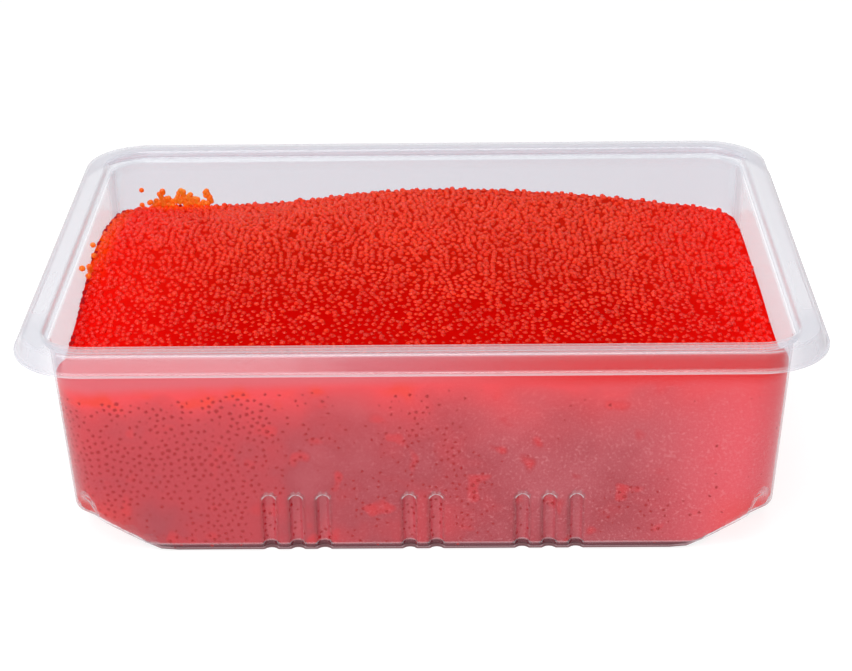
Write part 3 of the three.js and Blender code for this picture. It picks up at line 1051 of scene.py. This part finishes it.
# The stray eggs' orange skin glows faintly: painted light shining through them from behind
orangeSkin = newMaterial("roe skin, orange", roeSkin, "#F88426", "#EE6214", False, 0.12)
wholeShare = {"Share From": 0.0, "Share To": 1.0}
flat = {"Lift": 0, "Contact": 0, "Highest": 1, "Lowest": -1}
low = {**flat, "Spacing": 1.4, "Unevenness": 0.32, "Seed": 3}
upper = {**flat, "Spacing": 1.75, "Lift": 0.22, "Unevenness": 0.25, "Seed": 4}
onWall = {"Spacing": 1.4, "Lift": 0.21, "Unevenness": -0.5, "Contact": 1.1, "Highest": 0.16, "Lowest": -0.02}
kinds = {
    "eggsTopRed": (0, redSkin, {"Share To": 0.47, **low}),
    "eggsTopScarlet": (0, scarletSkin, {"Share From": 0.47, "Share To": 0.93, **low}),
    "eggsUpperRed": (0, redSkin, {"Share To": 0.15, **upper}),
    "eggsUpperScarlet": (0, scarletSkin, {"Share From": 0.15, "Share To": 0.3, **upper}),
    "eggsWall": (1, pressedSkin, {"Seed": 5, **onWall}),
    "eggsFloor": (2, pressedSkin, {"Seed": 6, **onWall}),
}
roePieces = [roeCore, brineSmear]
for name, (zone, skin, sizes) in kinds.items():
    values = {"Egg": egg, "Zone": zone, "Material": skin, **wholeShare, **sizes}
    for length in lengths:
        values[length] *= mm
    piece = grow(name, strewnEggs, eggBed, values)
    roePieces.append(piece)
    print(name + ":", len(piece.data.polygons) // len(egg.data.polygons), "eggs")

# Eggs that stick to the plastic over the heap: three clumps on the back wall and a few on the left one. Each
# clump has its place, how far it spreads, how high it reaches and how many eggs it has.
strays = {
    "clumps": (
        (-70.5, 56.0, 1.8, 43.8, 11),
        (-64.2, 56.0, 3.4, 44.0, 22),
        (-58.2, 56.0, 1.8, 43.8, 10),
        (-66.0, 56.0, 10.5, 41.9, 60),
        (-75.6, 56.4, 0.1, 44.0, 1),
        (-80.9, 7.0, 0.4, 49.4, 2),
        (-80.9, -10.0, 0.1, 50.6, 1),
        (-80.6, -3.0, 3.0, 47.6, 4),
    ),
    "backFrom": 50,  # a clump that lies further back is on the back wall
    "topSpread": 0.35,  # how much of its spread a clump has at its top
    "overHeap": 0.3,
    "sizes": (0.9, 1.05),
    "seed": 8,
}


def makeStrays():
    draw = np.random.RandomState(strays["seed"])
    shape = pointsOf(egg.data)
    sides = np.array([list(face.vertices) for face in egg.data.polygons])
    topSpread = strays["topSpread"]
    points, faces = [], []
    for x, y, spread, top, count in strays["clumps"]:
        onLeft = y < strays["backFrom"]
        for step in range(count):
            along = draw.uniform(-spread, spread) * (topSpread + (1 - topSpread) * step / count)
            place = np.array([x, y + along, 0]) if onLeft else np.array([x + along, y, 0])
            bottom = min(heapHeight(place[0], place[1]) + strays["overHeap"], top) if count > 1 else top
            place[2] = top + (bottom - top) * step / max(count - 1, 1)
            faces += (sides + len(points) * len(shape)).tolist()
            points.append(place + shape * draw.uniform(*strays["sizes"]))
    piece = meshPiece("eggsStray", np.concatenate(points), faces)
    piece.data.shade_smooth()
    piece.data.materials.append(orangeSkin)
    return piece


roePieces.append(makeStrays())
for helper in (egg, eggBed):
    bpy.data.objects.remove(helper)

for piece in [tubShell, *roePieces]:
    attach(piece, "root")
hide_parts("tub")
for piece in roePieces:
    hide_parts("roe")


# The studio: a pale floor, a bright even room and two soft lamps
studio = {
    "floorSize": 4000,
    "floorLevel": -0.05,
    "floorColour": "#959595",
    "floorRoughness": 0.7,
    "floorGlow": 0.84,
    "horizon": 0.95,
    "zenith": 0.1,
    "rise": (0.3, 0.85),  # from where to where the light falls off upwards
    "front": 0.3,  # how bright the room is before the tub, against behind it
    "frontReach": (-0.5, 0.2),
    "key": {"place": (-150, -350, 900), "size": 800, "power": 8},
    "fill": {"place": (-280, -700, 300), "size": 500, "power": 1.8},
}


# Matt white paper: no shine, and lit evenly so that it shows as plain white
def paper(add):
    return add("ShaderNodeBsdfPrincipled", {
        "Base Color": studio["floorColour"],
        "Roughness": studio["floorRoughness"],
        "Specular IOR Level": 0.0,
        "Emission Color": "#FFFFFF",
        "Emission Strength": studio["floorGlow"],
    })


def makeFloor():
    half, level = studio["floorSize"] / 2, studio["floorLevel"]
    corners = [(sideX * half, sideY * half, level) for sideX, sideY in quadrants]
    floor = meshPiece("studioFloor", corners, [(2, 3, 0, 1)])
    floor.data.materials.append(newMaterial("matt white paper", paper))


# Sets up a lamp or the camera at a place, with a turn
def setUp(name, data, place, turn):
    made = newObject(name, data)
    made.location = place
    made.rotation_mode = "QUATERNION"
    made.rotation_quaternion = turn
    return made


def makeLamp(name, settings):
    light = bpy.data.lights.new(name, "AREA")
    light.energy = settings["power"]
    light.size = settings["size"] * mm
    place = Vector(settings["place"]) * mm
    setUp(name, light, place, (-place).to_track_quat("-Z", "Y"))


def room(add):
    direction = add("ShaderNodeTexCoord").outputs["Generated"]
    _, y, z = add("ShaderNodeSeparateXYZ", (direction,)).outputs
    strength = add("ShaderNodeMapRange", (z, *studio["rise"], studio["horizon"], studio["zenith"]))
    depth = add("ShaderNodeMapRange", (y, *studio["frontReach"], studio["front"]))
    whole = add("ShaderNodeMath", (strength, depth), operation="MULTIPLY")
    return add("ShaderNodeBackground", {"Color": "#FFFFFF", "Strength": whole})


# The camera stands where a fit to the tub's outline in the picture puts it
camera = {
    "place": (7.977, -485.843, 259.954),
    "focal": 92.66,
    "pitch": 0.446142,
    "turn": 0.0155968,
    "roll": -0.0137964,
}


def makeCamera():
    lens = bpy.data.cameras.new("camera")
    lens.lens = camera["focal"]
    lens.sensor_width = 36
    lens.sensor_fit = "HORIZONTAL"
    lens.clip_start = 0.01
    turned = Matrix.Identity(3)
    for angle, axis in ((camera["turn"], "Z"), (math.pi / 2 - camera["pitch"], "X"), (camera["roll"], "Z")):
        turned = turned @ Matrix.Rotation(angle, 3, axis)
    place = Vector(camera["place"]) * mm
    bpy.context.scene.camera = setUp("camera", lens, place, turned.to_quaternion())


makeFloor()
bpy.context.scene.world = newLook(bpy.data.worlds, "bright room", room)
makeLamp("key lamp", studio["key"])
makeLamp("fill lamp", studio["fill"])
makeCamera()
bpy.context.scene.view_settings.view_transform = "Standard"
print("studio set")
